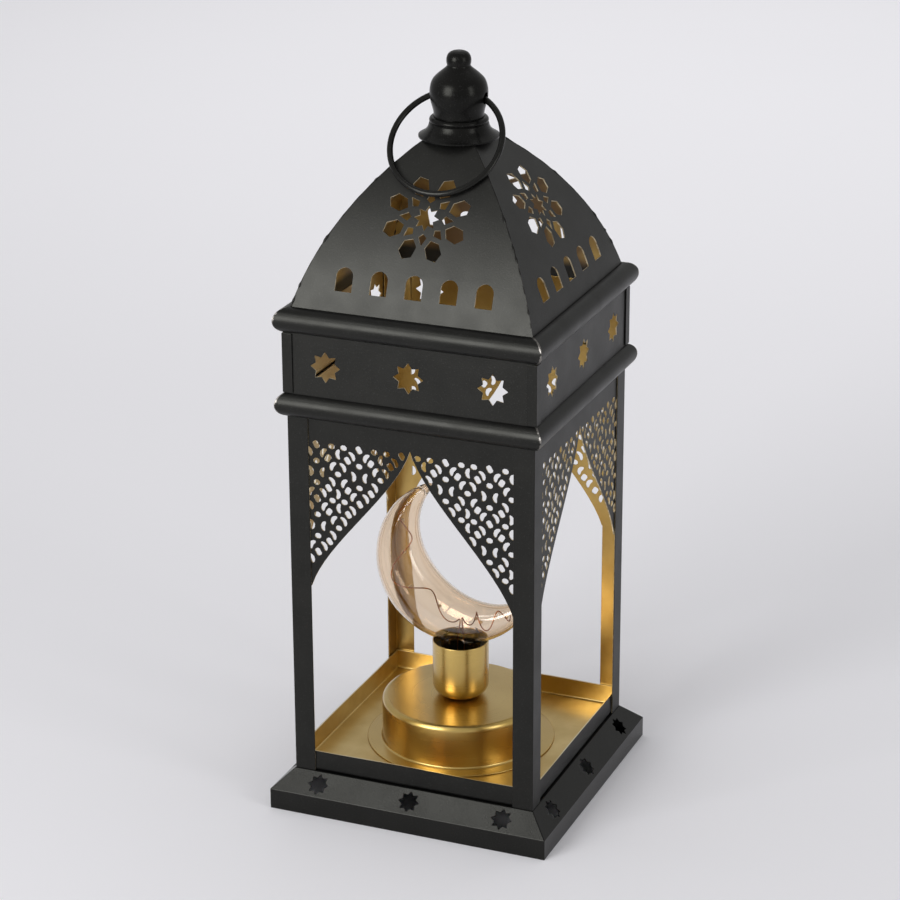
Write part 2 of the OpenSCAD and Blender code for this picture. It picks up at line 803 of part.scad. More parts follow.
// battery case: floor with the lid's slot, a cell bay, screw posts and a round wall
module battery_case() {
    color(plastic)
        difference() {
            union() {
                translate([0, 0, case_z])
                    cylinder(r = case_r, h = floor_top - case_z, $fn = 128);
                difference() {
                    translate([0, 0, case_z])
                        cylinder(r = case_r, h = case_top - case_z, $fn = 128);
                    translate([0, 0, case_z])
                        cylinder(r = case_r - 1.5, h = 60, $fn = 128);
                }
                translate([-bay_l / 2 - bay_wall, -bay_w / 2 - bay_wall, floor_top - 1])
                    cube([bay_l + 2 * bay_wall, bay_w + 2 * bay_wall, bay_top + bay_wall - floor_top + 1]);
                for (p = stud_spots)
                    translate([p[0], p[1], case_z])
                        cylinder(r = 4.6, h = drum_under - case_z, $fn = 48);
            }
            translate([-bay_l / 2, -bay_w / 2, slot_top - 1])
                cube([bay_l, bay_w, bay_top - slot_top + 1]);
            translate([-slot_half, lid_y0, case_z + lip])
                cube([2 * slot_half, 80, slot_top - case_z - lip]);
            translate([-slot_half + 1.8, lid_y0, case_z - 1])
                cube([2 * slot_half - 3.6, 80, 3]);
            for (p = stud_spots)
                translate([p[0], p[1], case_z - 1]) {
                    cylinder(r = stud_r + 0.2, h = 60, $fn = 32);
                    cylinder(r = 3.4, h = nut_top + fit - case_z + 1, $fn = 32);
                }
            translate([-switch_l / 2 - fit, switch_y - switch_w / 2 - fit, case_z - 1])
                cube([switch_l + 2 * fit, switch_w + 2 * fit, 20]);
        }
}

// battery lid: slides out of the case towards the back
module battery_lid() {
    w = slot_half - slide_fit;
    z = case_z + lip + slide_fit;
    color(plastic)
        difference() {
            union() {
                translate([-w, lid_y0 + slide_fit, z])
                    cube([2 * w, lid_y1 - lid_y0 - slide_fit, lid_t]);
                translate([-w + 1.8, lid_y0 + slide_fit, case_z + 0.1])
                    cube([2 * w - 3.6, lid_y1 - lid_y0 - slide_fit, z - case_z]);
            }
            for (i = [0:3])
                translate([-9, 8 + 2.4 * i, case_z - 1])
                    cube([18, 1.2, 1.6]);
        }
}

// a cell lying along X with its button towards +X
module cell() {
    translate([cell_x0, 0, cell_z])
        rotate([0, 90, 0]) {
            cylinder(d = cell_d, h = cell_len, $fn = 64);
            cylinder(r = 1.9, h = cell_len + button, $fn = 32);
        }
}
module in_bay() {
    for (i = [-1:1])
        translate([0, i * cell_pitch, 0])
            rotate([0, 0, i == 0 ? 180 : 0])
                children();
}

// cells: three, the middle one turned round
module cells() {
    color(steel)
        in_bay()
            cell();
}

spring_x0 = -contact_x + spring_wire / 2 + fit;
spring_x1 = cell_x0 - spring_wire / 2 - fit;
spring_pitch = (spring_x1 - spring_x0) / spring_turns;
echo(least_spring_gap = spring_pitch - spring_wire);
// cell springs: one unbroken coil at the flat end of each cell
module cell_springs() {
    n = 8 * spring_turns;
    color(steel)
        in_bay()
            tube([
                for (i = [0:n])
                    let (x = spring_x0 + (spring_x1 - spring_x0) * i / n)
                    [x, spring_r * cos(45 * i), cell_z + spring_r * sin(45 * i)]
            ], spring_wire / 2, [1, 0, 0]);
}

// cell contacts: six plates at the ends of the bay
module cell_contacts() {
    color(steel)
        for (i = [-1:1], s = [-1, 1])
            translate([s * (contact_x + contact_t / 2), i * cell_pitch, cell_z])
                cube([contact_t, contact_w, contact_w], center = true);
}

// switch body: a housing with the slot that the stem runs in
module switch_body() {
    color(plastic)
        translate([0, switch_y, switch_z])
            difference() {
                translate([-switch_l / 2, -switch_w / 2, 0])
                    cube([switch_l, switch_w, switch_h]);
                translate([-(stem_l + switch_travel) / 2 - slide_fit, -stem_w / 2 - slide_fit, -1])
                    cube([
                        stem_l + switch_travel + 2 * slide_fit, stem_w + 2 * slide_fit,
                        1 + stem_z + stem_h - switch_z + slide_fit
                    ]);
            }
}

// switch slider: the stem a finger pushes, at its off end
module switch_slider() {
    color(plastic)
        translate([-(stem_l + switch_travel) / 2, switch_y - stem_w / 2, stem_z])
            difference() {
                cube([stem_l, stem_w, stem_h]);
                for (i = [0:1])
                    translate([0.8 + 1.2 * i, -1, -0.1])
                        cube([0.6, 5, 0.5]);
            }
}

// case studs: welded under the drum's top
module case_studs() {
    color(steel)
        for (p = stud_spots)
            translate([p[0], p[1], nut_top - nut_h - 1])
                cylinder(r = stud_r, h = drum_under - nut_top + nut_h + 1, $fn = 32);
}

// case nuts: hold the case up on its studs
module case_nuts() {
    color(steel)
        for (p = stud_spots)
            translate([p[0], p[1], nut_top - nut_h])
                difference() {
                    cylinder(r = 3.1, h = nut_h, $fn = 6);
                    translate([0, 0, -1])
                        cylinder(r = stud_r + fit, h = 5, $fn = 32);
                }
}

plinth_front();
plinth_right();
plinth_back();
plinth_left();
tray();
post_fl();
post_fr();
post_br();
post_bl();
screen_front();
screen_right();
screen_back();
screen_left();
lower_bead_front();
lower_bead_right();
lower_bead_back();
lower_bead_left();
frieze_front();
frieze_right();
frieze_back();
frieze_left();
angle_fl();
angle_fr();
angle_br();
angle_bl();
upper_bead_front();
upper_bead_right();
upper_bead_back();
upper_bead_left();
dome_front();
dome_right();
dome_back();
dome_left();
crown_plate();
finial_bell();
finial_ball();
finial_insert();
finial_screw();
ring_handle();
lamp_drum();
lamp_cup();
cup_eyelet();
moon_plug();
moon_glass();
light_wire();
light_drops();
leads();
battery_case();
battery_lid();
cells();
cell_springs();
cell_contacts();
switch_body();
switch_slider();
case_studs();
case_nuts();
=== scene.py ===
import math
import random

import bmesh
import bpy
from mathutils import Matrix, Vector


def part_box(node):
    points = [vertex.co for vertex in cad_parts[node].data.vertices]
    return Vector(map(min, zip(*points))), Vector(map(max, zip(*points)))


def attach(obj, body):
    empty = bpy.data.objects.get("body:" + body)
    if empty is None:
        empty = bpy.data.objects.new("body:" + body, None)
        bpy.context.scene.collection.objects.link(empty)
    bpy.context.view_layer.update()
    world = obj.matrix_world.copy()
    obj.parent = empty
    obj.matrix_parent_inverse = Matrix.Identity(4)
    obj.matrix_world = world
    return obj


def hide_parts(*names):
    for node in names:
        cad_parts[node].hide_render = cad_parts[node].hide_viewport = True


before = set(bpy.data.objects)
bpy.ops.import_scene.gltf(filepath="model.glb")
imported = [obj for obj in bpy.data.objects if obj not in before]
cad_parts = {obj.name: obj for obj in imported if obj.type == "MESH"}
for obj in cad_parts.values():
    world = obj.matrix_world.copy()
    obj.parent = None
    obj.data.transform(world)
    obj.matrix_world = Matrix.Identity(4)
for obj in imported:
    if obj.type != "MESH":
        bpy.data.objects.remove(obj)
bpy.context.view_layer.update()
scene = bpy.context.scene
mm = 0.001
sides = ("front", "right", "back", "left")
corners = {"fl": (-1, -1), "fr": (1, -1), "br": (1, 1), "bl": (-1, 1)}  # with the signs of x and y
midNoise = (0.3, 0.7)  # the span in which most of a noise lies
weldDist = 1e-6
tiny = 1e-7
print("frame loaded:", len(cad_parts), "nodes")


def setInputs(tree, node, ins):
    for key, value in ins.items():
        if isinstance(value, bpy.types.NodeSocket):
            tree.links.new(value, node.inputs[key])
        else:
            node.inputs[key].default_value = value


def addNode(tree, kind, props=None, ins=None):
    node = tree.nodes.new(kind)
    for key, value in (props or {}).items():
        setattr(node, key, value)
    setInputs(tree, node, ins or {})
    return node


def calc(tree, operation, *values):
    return addNode(tree, "ShaderNodeMath", {"operation": operation}, dict(enumerate(values))).outputs[0]


def axes(tree, vector):
    return addNode(tree, "ShaderNodeSeparateXYZ", None, {0: vector}).outputs


def noise(tree, vector, scale, detail):
    ins = {"Vector": vector, "Scale": scale, "Detail": detail}
    return addNode(tree, "ShaderNodeTexNoise", None, ins).outputs[0]


def remap(tree, value, low, high, toLow=0.0, toHigh=1.0):
    ins = {0: value, 1: low, 2: high, 3: toLow, 4: toHigh}
    return addNode(tree, "ShaderNodeMapRange", {"clamp": True}, ins).outputs[0]


# the sockets of a Mix go by number, because each data type repeats their names
def mixColour(tree, factor, a, b):
    return addNode(tree, "ShaderNodeMix", {"data_type": "RGBA"}, {0: factor, 6: a, 7: b}).outputs[2]


def mixValue(tree, factor, a, b):
    return addNode(tree, "ShaderNodeMix", {"data_type": "FLOAT"}, {0: factor, 2: a, 3: b}).outputs[0]


def bump(tree, height, strength, distance):
    ins = {"Strength": strength, "Distance": distance, "Height": height}
    return addNode(tree, "ShaderNodeBump", None, ins).outputs[0]


# a colour that drifts with a noise, and a value that does
def drift(tree, value, dark, light):
    return mixColour(tree, remap(tree, value, *midNoise), dark, light)


def vary(tree, value, low, high):
    return remap(tree, value, *midNoise, low, high)


def startMaterial(name):
    material = bpy.data.materials.new(name)
    material.use_nodes = True
    tree = material.node_tree
    coords = addNode(tree, "ShaderNodeTexCoord").outputs
    return material, tree, tree.nodes["Principled BSDF"], coords


def grey(value, warm=0.0):
    return (value * (1 + warm), value, value * (1 - warm), 1)


# the bend of a dome sheet, in millimetres, and the heights between which its gold begins
domeArc = {"middle": -77.366, "height": 211.7, "radius": 141.2, "blackBelow": 245, "painted": 249}
# a noise is a scale and a detail, a bump a strength and a depth; From gives the two ends of a change
coatLook = {
    "dark": grey(0.0025), "light": grey(0.0045, 0.04), "fleck": grey(0.014), "tint": (1.0, 1.0, 0.92, 1),
    "rough": (0.33, 0.41), "cloudNoise": (70, 4), "grainNoise": (1500, 2), "grainStrength": 0.6,
    "fleckNoise": (1500, 1), "fleckFrom": (0.62, 0.74),
}
sandy = {"depth": 0.00010, "gloss": 0.40}
fine = {"depth": 0.00012, "gloss": 0.30}
satin = {"depth": 0.00005, "gloss": 0.265}
deepGloss = {"depth": 0.00003, "gloss": 0.15}
goldLook = {
    # one gold paint in three brightnesses: the flat sheets' and the dome's insides are painted darker than
    # the tray, as painted shade
    "flat": ((0.36, 0.22, 0.04, 1), (0.50, 0.335, 0.09, 1)),
    "tray": ((0.53, 0.35, 0.08, 1), (0.72, 0.53, 0.20, 1)),
    "dome": ((0.48, 0.31, 0.06, 1), (0.62, 0.43, 0.12, 1)),
    "spun": ((0.49, 0.318, 0.064, 1), (0.66, 0.465, 0.14, 1)),
    "cloudFrom": (0.25, 0.75), "inwardFrom": (-0.25, -0.35), "upwardFrom": (0.3, 0.5),
    # dark brown for the dome's random patches, which are thin gold paint and painted shade
    "thin": (0.13, 0.07, 0.017, 1), "thinAndShadeNoise": (34, 2), "thinAndShadeFrom": (0.36, 0.52),
    "rough": (0.28, 0.38), "lacquer": 0.9, "lacquerRough": 0.3,
}
edgeLook = {
    "deep": (0.30, 0.23, 0.13, 1), "light": (0.78, 0.68, 0.48, 1), "rough": 0.40,
    "speckNoise": (420, 2), "speckFrom": (0.35, 0.65), "sidewaysFrom": (0.35, 0.25),
    "trayRimHighlightFrom": (0.0290, 0.0293),
}
# bare metal rubbed at the bead mitres, also a painted highlight along their corners
rubAndHighlightLook = {
    "colour": grey(0.20, 0.06), "mitreFrom": (0.0022, 0.0002), "patchNoise": (480, 3),
    "patchFrom": (0.38, 0.5),
}


# how far a face looks outwards, from 1 on the outside to -1 on the inside
def outwardShare(tree, place, facing, onDome):
    absX, absY = calc(tree, "ABSOLUTE", place[0]), calc(tree, "ABSOLUTE", place[1])
    outX = calc(tree, "MULTIPLY", calc(tree, "SIGN", place[0]), facing[0])
    outY = calc(tree, "MULTIPLY", calc(tree, "SIGN", place[1]), facing[1])
    share = mixValue(tree, calc(tree, "GREATER_THAN", absY, absX), outX, outY)
    if onDome:
        across = calc(tree, "SUBTRACT", calc(tree, "MAXIMUM", absX, absY), domeArc["middle"] * mm)
        above = calc(tree, "SUBTRACT", place[2], domeArc["height"] * mm)
        share = calc(tree, "MULTIPLY", share, across)
        share = calc(tree, "ADD", share, calc(tree, "MULTIPLY", facing[2], above))
        share = calc(tree, "DIVIDE", share, domeArc["radius"] * mm)
    return share


# gold paint on the inside of a sheet, and bare metal on its cut edges; the tray's top edge gets a painted
# highlight instead, and the dome's inside random dark patches of thin paint and painted shade
def paintInside(tree, coords, inside, cloud, grain, skin):
    where = coords["Object"]
    place, facing = axes(tree, where), axes(tree, coords["Normal"])
    share = outwardShare(tree, place, facing, inside == "dome")
    paint = mixColour(tree, remap(tree, cloud, *goldLook["cloudFrom"]), *goldLook[inside])
    gold = remap(tree, share, *goldLook["inwardFrom"])
    if inside == "tray":
        gold = calc(tree, "MAXIMUM", gold, remap(tree, facing[2], *goldLook["upwardFrom"]))
    if inside == "dome":
        # the dome's inside stays black below the lower height and turns gold by the upper one
        goldAbove = remap(tree, place[2], domeArc["blackBelow"] * mm, domeArc["painted"] * mm)
        gold = calc(tree, "MULTIPLY", gold, goldAbove)
        # random dark patches on the dome's inside: thin gold paint, and painted shade
        thin = remap(tree, noise(tree, where, *goldLook["thinAndShadeNoise"]), *goldLook["thinAndShadeFrom"])
        paint = mixColour(tree, thin, paint, goldLook["thin"])
    colour = mixColour(tree, gold, skin["Base Color"], paint)
    roughness = mixValue(tree, gold, skin["Roughness"], vary(tree, grain, *goldLook["rough"]))
    if inside == "tray":
        # a painted highlight along the top of the tray's gold sides, in the light edge colour
        rim = calc(tree, "MULTIPLY", remap(tree, place[2], *edgeLook["trayRimHighlightFrom"]), gold)
        colour = mixColour(tree, rim, colour, edgeLook["light"])
    else:
        edge = remap(tree, calc(tree, "ABSOLUTE", share), *edgeLook["sidewaysFrom"])
        speck = remap(tree, noise(tree, where, *edgeLook["speckNoise"]), *edgeLook["speckFrom"])
        colour = mixColour(tree, edge, colour, mixColour(tree, speck, edgeLook["deep"], edgeLook["light"]))
        roughness = mixValue(tree, edge, roughness, edgeLook["rough"])
    skin.update({"Base Color": colour, "Roughness": roughness, "Metallic": gold,
                 "Coat Weight": calc(tree, "MULTIPLY", gold, goldLook["lacquer"])})


# bare metal where the mitred ends of a bead have rubbed, which also paints a highlight along the corners
def rubAndHighlightMitres(tree, where, skin):
    place = axes(tree, where)
    offMitre = calc(tree, "SUBTRACT", *[calc(tree, "ABSOLUTE", place[i]) for i in (0, 1)])
    mitre = remap(tree, calc(tree, "ABSOLUTE", offMitre), *rubAndHighlightLook["mitreFrom"])
    patchy = calc(tree, "MULTIPLY", mitre, noise(tree, where, *rubAndHighlightLook["patchNoise"]))
    rubAndHighlight = remap(tree, patchy, *rubAndHighlightLook["patchFrom"])
    skin.update({"Base Color": mixColour(tree, rubAndHighlight, skin["Base Color"], rubAndHighlightLook["colour"]), "Metallic": rubAndHighlight})


# black powder coat, with gold on the inside of a sheet that has one
def sheetCoat(name, finish, inside=None, rough=coatLook["rough"], rubbedAndHighlit=False):
    material, tree, shader, coords = startMaterial(name)
    where = coords["Object"]
    cloud = noise(tree, where, *coatLook["cloudNoise"])
    grain = noise(tree, where, *coatLook["grainNoise"])
    fleck = remap(tree, noise(tree, where, *coatLook["fleckNoise"]), *coatLook["fleckFrom"])
    black = drift(tree, cloud, coatLook["dark"], coatLook["light"])
    skin = {"Base Color": mixColour(tree, fleck, black, coatLook["fleck"]),
            "Roughness": vary(tree, cloud, *rough), "Metallic": 0.0, "Coat Weight": 0.0}
    if inside:
        paintInside(tree, coords, inside, cloud, grain, skin)
    if rubbedAndHighlit:
        rubAndHighlightMitres(tree, where, skin)
    setInputs(tree, shader, {
        **skin, "Normal": bump(tree, grain, coatLook["grainStrength"], finish["depth"]),
        "Specular IOR Level": finish["gloss"], "Specular Tint": coatLook["tint"],
        "Coat Roughness": goldLook["lacquerRough"]})
    return material


spunLook = {
    "stretch": 60.0, "lineNoise": (42, 3), "cloudNoise": (30, 2), "cloudFrom": (0.2, 0.8),
    "rough": (0.27, 0.31), "bump": (0.05, 0.00006), "lacquer": 0.9, "lacquerRough": 0.22,
}


# gold lacquer on spun metal, with turning lines about the upright axis
def spunGold(name):
    material, tree, shader, coords = startMaterial(name)
    place = axes(tree, coords["Object"])
    squares = [calc(tree, "MULTIPLY", place[i], place[i]) for i in (0, 1)]
    radius = calc(tree, "SQRT", calc(tree, "ADD", *squares))
    paintedContourAt = addNode(tree, "ShaderNodeCombineXYZ", None, {
        0: calc(tree, "MULTIPLY", radius, spunLook["stretch"]),
        1: calc(tree, "MULTIPLY", place[2], spunLook["stretch"]), 2: place[0]}).outputs[0]
    lines = noise(tree, paintedContourAt, *spunLook["lineNoise"])
    cloud = noise(tree, coords["Object"], *spunLook["cloudNoise"])
    setInputs(tree, shader, {
        "Base Color": mixColour(tree, remap(tree, cloud, *spunLook["cloudFrom"]), *goldLook["spun"]),
        "Roughness": vary(tree, lines, *spunLook["rough"]), "Metallic": 1.0,
        "Normal": bump(tree, lines, *spunLook["bump"]),
        "Coat Weight": spunLook["lacquer"], "Coat Roughness": spunLook["lacquerRough"]})
    return material


metal = {"cloudNoise": (300, 4), "grainNoise": (4000, 2), "bump": (0.2, 0.00003), "metallic": 1.0}
plastic = {"cloudNoise": (90, 3), "grainNoise": (3200, 2), "bump": (0.3, 0.00004), "metallic": 0.0}


# plain metal or plastic: the tint drifts and the gloss follows a fine grain
def plainSkin(name, stuff, dark, light, rough):
    material, tree, shader, coords = startMaterial(name)
    cloud = noise(tree, coords["Object"], *stuff["cloudNoise"])
    grain = noise(tree, coords["Object"], *stuff["grainNoise"])
    setInputs(tree, shader, {
        "Base Color": drift(tree, cloud, dark, light), "Metallic": stuff["metallic"],
        "Roughness": vary(tree, grain, *rough), "Normal": bump(tree, grain, *stuff["bump"])})
    return material


glassLook = {
    "pale": (0.982, 0.948, 0.898, 1), "warm": (0.966, 0.920, 0.852, 1), "cloudNoise": (38, 3),
    # edge and line are painted tints: deeper where the view grazes, and a dark contour line
    "edge": (0.84, 0.68, 0.50, 1), "paintedDeepFrom": (0.6, 0.95), "blend": 0.35,
    "line": (0.60, 0.43, 0.29, 1), "paintedContourAt": 0.44, "paintedContourFrom": (0.012, 0.03),
    "rough": (0.02, 0.06), "ior": 1.5, "rippleNoise": (160, 2), "bump": (0.08, 0.0004),
    "lustre": 0.4, "lustreRough": 0.05, "lustreTint": (1.0, 0.92, 0.82, 1),
}


# champagne lustre glass, with a painted deeper tint where the view grazes it and a painted dark contour line,
# both set by the viewing angle
def lustreGlass(name):
    material, tree, shader, coords = startMaterial(name)
    cloud = noise(tree, coords["Object"], *glassLook["cloudNoise"])
    ripple = noise(tree, coords["Object"], *glassLook["rippleNoise"])
    slant = addNode(tree, "ShaderNodeLayerWeight", None, {"Blend": glassLook["blend"]}).outputs["Facing"]
    colour = drift(tree, cloud, glassLook["pale"], glassLook["warm"])
    # painted deeper tint where the view grazes the glass
    colour = mixColour(tree, remap(tree, slant, *glassLook["paintedDeepFrom"]), colour, glassLook["edge"])
    # painted dark contour line at one viewing angle
    offPaintedContour = calc(tree, "ABSOLUTE", calc(tree, "SUBTRACT", slant, glassLook["paintedContourAt"]))
    line = remap(tree, offPaintedContour, *glassLook["paintedContourFrom"], 1.0, 0.0)
    setInputs(tree, shader, {
        "Base Color": mixColour(tree, line, colour, glassLook["line"]),
        "Roughness": vary(tree, cloud, *glassLook["rough"]),
        "IOR": glassLook["ior"], "Transmission Weight": 1.0,
        "Normal": bump(tree, ripple, *glassLook["bump"]), "Coat Weight": glassLook["lustre"],
        "Coat Roughness": glassLook["lustreRough"], "Coat Tint": glassLook["lustreTint"]})
    return material


wrapLook = {
    "dark": (0.03, 0.05, 0.10, 1), "light": (0.05, 0.075, 0.14, 1), "cloudNoise": (200, 3),
    "end": grey(0.6), "endFrom": (0.5, 0.7), "rough": (0.22, 0.34), "bump": (0.1, 0.00005),
}


# a cell's sleeve: plain dark wrap and bare metal ends
def cellWrap(name):
    material, tree, shader, coords = startMaterial(name)
    lengthwise = calc(tree, "ABSOLUTE", axes(tree, coords["Normal"])[0])
    ends = remap(tree, lengthwise, *wrapLook["endFrom"])
    cloud = noise(tree, coords["Object"], *wrapLook["cloudNoise"])
    wrap = drift(tree, cloud, wrapLook["dark"], wrapLook["light"])
    setInputs(tree, shader, {
        "Base Color": mixColour(tree, ends, wrap, wrapLook["end"]), "Metallic": ends,
        "Roughness": vary(tree, cloud, *wrapLook["rough"]), "Normal": bump(tree, cloud, *wrapLook["bump"])})
    return material


looks = {
    "flatSheet": sheetCoat("flatSheet", satin, "flat"),
    "friezeSheet": sheetCoat("friezeSheet", fine, "flat"),
    "domeSheet": sheetCoat("domeSheet", sandy, "dome", rough=(0.38, 0.46)),
    "traySheet": sheetCoat("traySheet", satin, "tray"),
    "blackSheet": sheetCoat("blackSheet", satin),
    "smoothSheet": sheetCoat("smoothSheet", satin, rough=(0.20, 0.26)),
    "blackBead": sheetCoat("blackBead", satin, rough=(0.30, 0.40), rubbedAndHighlit=True),
    "glossBlack": sheetCoat("glossBlack", deepGloss, rough=(0.22, 0.28)),
    "spunGold": spunGold("spunGold"),
    "bareSteel": plainSkin("bareSteel", metal, grey(0.42), grey(0.62), (0.22, 0.36)),
    "copperWire": plainSkin("copperWire", metal, (0.34, 0.125, 0.05, 1), (0.50, 0.22, 0.10, 1), (0.25, 0.38)),
    "blackPlastic": plainSkin("blackPlastic", plastic, grey(0.012), grey(0.02), (0.42, 0.56)),
    "clearResin": plainSkin("clearResin", plastic, (0.85, 0.62, 0.34, 1), (0.95, 0.80, 0.55, 1), (0.08, 0.2)),
    "lustreGlass": lustreGlass("lustreGlass"),
    "cellWrap": cellWrap("cellWrap"),
}
print("materials made:", len(looks))


def wear(nodes, look):
    for name in nodes:
        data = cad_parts[name].data
        data.materials.clear()
        data.materials.append(looks[look])


def sided(stem, ends=sides):
    return [stem + "_" + end for end in ends]


wear(sided("plinth"), "smoothSheet")
wear(sided("post", corners), "flatSheet")
wear(sided("screen"), "flatSheet")
wear(sided("frieze"), "friezeSheet")
wear(sided("angle", corners), "blackSheet")
wear(sided("lower_bead") + sided("upper_bead"), "blackBead")
wear(sided("dome"), "domeSheet")
wear(["crown_plate"], "blackSheet")
wear(["finial_insert", "finial_screw", "cup_eyelet", "cell_contacts", "case_studs", "case_nuts"], "bareSteel")
wear(["moon_plug", "leads", "battery_case", "battery_lid", "switch_body", "switch_slider"], "blackPlastic")
wear(["cells"], "cellWrap")
print("frame nodes painted")


def addObject(name, mesh, look):
    piece = bpy.data.objects.new(name, mesh)
    scene.collection.objects.link(piece)
    mesh.materials.clear()
    mesh.materials.append(looks[look])
    return piece


def meshFrom(bm, name):
    mesh = bpy.data.meshes.new(name)
    bm.to_mesh(mesh)
    bm.free()
    return mesh


# shades a finished piece and ties it to the frame
def settle(piece, body, nodes, sharpAngle=35):
    piece.data.shade_smooth()
    piece.data.set_sharp_from_angle(angle=math.radians(sharpAngle))
    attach(piece, body)
    if nodes:
        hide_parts(*nodes)


def evaluatedMesh(holder):
    bpy.context.view_layer.update()
    return bpy.data.meshes.new_from_object(holder.evaluated_get(bpy.context.evaluated_depsgraph_get()))


# gives a piece the mesh that its modifiers make
def bake(piece):
    mesh, old = evaluatedMesh(piece), piece.data
    piece.modifiers.clear()
    piece.data = mesh
    bpy.data.meshes.remove(old)


def combine(piece, other, operation):
    modifier = piece.modifiers.new("join", "BOOLEAN")
    modifier.operation = operation
    modifier.solver = "EXACT"
    modifier.object = other
    bake(piece)
    bpy.data.objects.remove(other)


# a smooth curve through points of any dimension
def smoothLine(points, steps):
    line = []
    for i in range(len(points) - 1):
        a, b = points[max(i - 1, 0)], points[i]
        c, d = points[i + 1], points[min(i + 2, len(points) - 1)]
        for k in range(steps):
            t = k / steps
            line.append(tuple(
                0.5 * (2 * b[n] + (c[n] - a[n]) * t + (2 * a[n] - 5 * b[n] + 4 * c[n] - d[n]) * t * t
                       + (3 * b[n] - a[n] - 3 * c[n] + d[n]) * t ** 3) for n in range(len(b))))
    line.append(tuple(points[-1]))
    return line


def arc(middle, radius, start, end, steps):
    angles = [math.radians(start + (end - start) * i / steps) for i in range(steps + 1)]
    return [(middle[0] + radius * math.cos(a), middle[1] + radius * math.sin(a)) for a in angles]


# a closed outline of radius and height, in millimetres, turned about the upright axis
def turned(name, outline, steps):
    bm = bmesh.new()
    verts = [bm.verts.new((r * mm, 0, z * mm)) for r, z in outline]
    edges = [bm.edges.new((verts[i], verts[(i + 1) % len(verts)])) for i in range(len(verts))]
    bmesh.ops.spin(bm, geom=verts + edges, cent=(0, 0, 0), axis=(0, 0, 1), angle=math.tau,
                   steps=steps, use_merge=True)
    bmesh.ops.remove_doubles(bm, verts=bm.verts, dist=weldDist)
    bmesh.ops.dissolve_degenerate(bm, dist=tiny, edges=bm.edges)
    bmesh.ops.recalc_face_normals(bm, faces=bm.faces)
    return meshFrom(bm, name)


# a closed cylinder about the upright axis, in millimetres
def rod(radius, length, segments):
    bm = bmesh.new()
    bmesh.ops.create_cone(bm, cap_ends=True, segments=segments, radius1=radius * mm, radius2=radius * mm,
                          depth=length * mm)
    return bm


# a tube along points, each with its own radius, in millimetres
def swept(name, points, radii, look, roundness=3):
    curve = bpy.data.curves.new(name, "CURVE")
    curve.dimensions = "3D"
    curve.bevel_depth = 1.0
    curve.bevel_resolution = roundness
    curve.use_fill_caps = True
    spline = curve.splines.new("POLY")
    spline.points.add(len(points) - 1)
    for spot, place, radius in zip(spline.points, points, radii):
        spot.co = (place[0] * mm, place[1] * mm, place[2] * mm, 1)
        spot.radius = radius * mm
    carrier = bpy.data.objects.new(name + "Line", curve)
    scene.collection.objects.link(carrier)
    mesh = evaluatedMesh(carrier)
    bpy.data.objects.remove(carrier)
    bpy.data.curves.remove(curve)
    bm = bmesh.new()
    bm.from_mesh(mesh)
    bmesh.ops.remove_doubles(bm, verts=bm.verts, dist=tiny)
    bmesh.ops.recalc_face_normals(bm, faces=bm.faces)
    bm.to_mesh(mesh)
    bm.free()
    return addObject(name, mesh, look)


rounding = {"width": 0.25, "segments": 2, "sharper": 40}


# rounds the cut and folded edges of sheets that come from the frame
def soften(nodes, r):
    for name in nodes:
        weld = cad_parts[name].modifiers.new("weld", "WELD")
        weld.merge_threshold = weldDist
        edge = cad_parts[name].modifiers.new("edge", "BEVEL")
        edge.width = r["width"] * mm
        edge.segments = r["segments"]
        edge.limit_method = "ANGLE"
        edge.angle_limit = math.radians(r["sharper"])
        edge.use_clamp_overlap = True


soften(sided("plinth") + sided("post", corners) + sided("angle", corners) + sided("frieze"), rounding)
print("sheet edges rounded")

tray = {
    "half": 59.85, "sheet": 0.6, "low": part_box("tray")[0].z / mm, "top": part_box("tray")[1].z / mm,
    "cells": 40, "bend": 1.3, "bendSteps": 5, "hole": 36.8, "holeDepth": 10, "holeSteps": 96, "sharp": 30,
    "wave": 0.22, "wavePitch": 0.075, "waveStart": 0.8, "lean": 0.003, "leanPitch": 0.06, "leanStart": 2.0,
}


